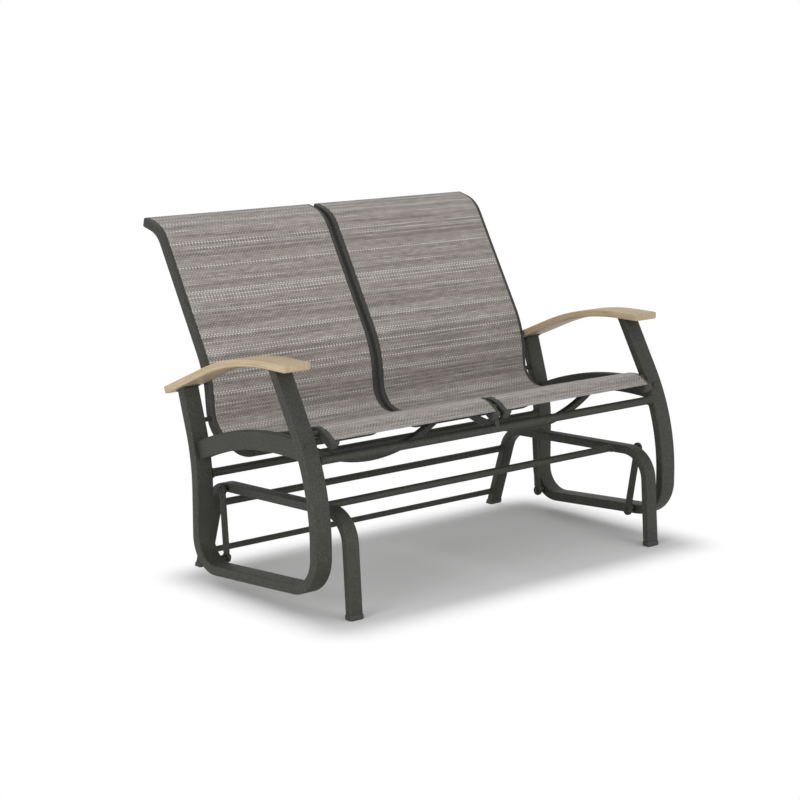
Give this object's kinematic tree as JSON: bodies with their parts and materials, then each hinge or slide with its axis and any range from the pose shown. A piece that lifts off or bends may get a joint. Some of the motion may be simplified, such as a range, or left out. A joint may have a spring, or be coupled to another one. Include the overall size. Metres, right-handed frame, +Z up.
{
  "type": "glider bench",
  "caption": "Two-seat patio glider bench: bent-tube side frames with curved arms and woven slings, hung on links from a low tube base.",
  "frame": {"origin": "on the floor, under the middle of the whole bench, under the centre of its bounding box", "axes": "+X along the seat to the right-hand end as one faces the front (picture's right), +Y from the front of the seat to the back, +Z up"},
  "size_m": [1.279, 0.8334, 0.8985],
  "materials": {
    "frame_paint": "dark olive-grey textured powder coat on steel tube",
    "arm_board": "tan wood-look board, faint grain, satin",
    "sling_fabric": "grey-taupe woven vinyl-coated yarn",
    "dark_plastic": "moulded dark plastic, matte",
    "bolt_steel": "black zinc-plated steel"
  },
  "bodies": {
    "base": {"base_frame_left": "frame_paint", "base_frame_right": "frame_paint", "base_pivot_bolts": "bolt_steel", "front_feet": "dark_plastic", "front_stretcher": "frame_paint", "rear_feet": "dark_plastic", "rear_lower_stretcher": "frame_paint", "rear_upper_stretcher": "frame_paint"},
    "rear_links": {"rear_link_left": "frame_paint", "rear_link_right": "frame_paint"},
    "front_links": {"front_link_left": "frame_paint", "front_link_right": "frame_paint"},
    "seat": {"arm_left": "arm_board", "arm_right": "arm_board", "back_spreader_left": "frame_paint", "back_spreader_right": "frame_paint", "front_arm_saddles": "frame_paint", "front_middle_bracket": "frame_paint", "front_seat_rail": "frame_paint", "front_spreader_left": "frame_paint", "front_spreader_right": "frame_paint", "inner_sling_rail_left": "frame_paint", "inner_sling_rail_right": "frame_paint", "outer_sling_rail_left": "frame_paint", "outer_sling_rail_right": "frame_paint", "rail_end_caps": "dark_plastic", "rail_spacers": "frame_paint", "rear_arm_saddles": "frame_paint", "rear_seat_rail": "frame_paint", "rear_spreader_left": "frame_paint", "rear_spreader_right": "frame_paint", "seat_pivot_bolts": "bolt_steel", "side_brace_left": "frame_paint", "side_brace_right": "frame_paint", "side_frame_left": "frame_paint", "side_frame_right": "frame_paint", "sling_left": "sling_fabric", "sling_right": "sling_fabric"}
  },
  "joints": [
    {"name": "glide", "type": "hinge", "parent": "base", "child": "rear_links", "pos_m": [0, 0.0842, 0.23576], "axis": [1, 0, 0], "range_deg": [-12, 12]},
    {"name": "seat_on_rear_links", "type": "hinge", "parent": "rear_links", "child": "seat", "pos_m": [0, 0.0693, 0.05974], "axis": [1, 0, 0], "range_deg": [-13.7, 13.7]},
    {"name": "front_links_on_base", "type": "hinge", "parent": "base", "child": "front_links", "pos_m": [0, -0.3173, 0.25183], "axis": [1, 0, 0], "range_deg": [-11.8, 11.8]}
  ],
  "couplings": [
    {"joint": "seat_on_rear_links", "follows": "glide", "ratio": -1.1286},
    {"joint": "front_links_on_base", "follows": "glide", "ratio": 0.971}
  ]
}
